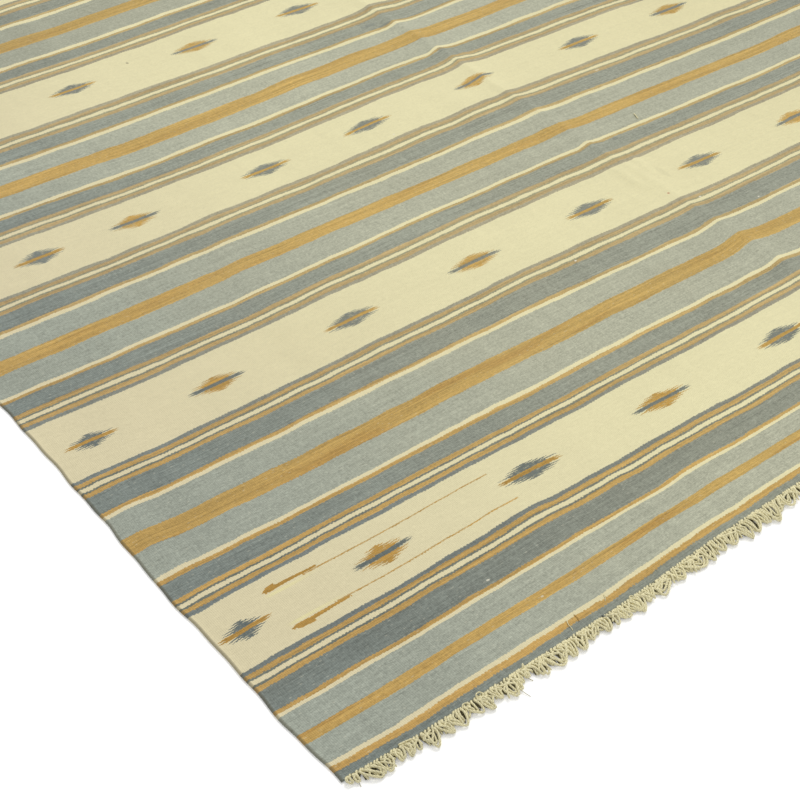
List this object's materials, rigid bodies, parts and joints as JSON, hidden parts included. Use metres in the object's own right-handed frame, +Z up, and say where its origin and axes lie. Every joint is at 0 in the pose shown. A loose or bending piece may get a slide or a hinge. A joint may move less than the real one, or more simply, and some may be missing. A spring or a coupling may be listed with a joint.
{
  "type": "dhurrie rug",
  "caption": "Flat-woven striped dhurrie rug lying flat, with a soft crease from folding along its middle and short loose fringes at both ends.",
  "frame": {"origin": "middle of the rug's bounding box, at floor level", "axes": "+Z up from the floor; +Y along the warp, from the near fringe to the far fringe; +X along the stripes, from selvedge to selvedge"},
  "size_m": [2.3498, 3.1878, 0.012],
  "materials": {
    "weave": "matte weft-faced cotton flat weave in cream, blue-grey and ochre stripes",
    "warp_ends": "matte plied cotton yarn, natural cream"
  },
  "bodies": {
    "root": {"rug_cloth": "weave", "fringe_near": "warp_ends", "fringe_far": "warp_ends"}
  },
  "joints": []
}
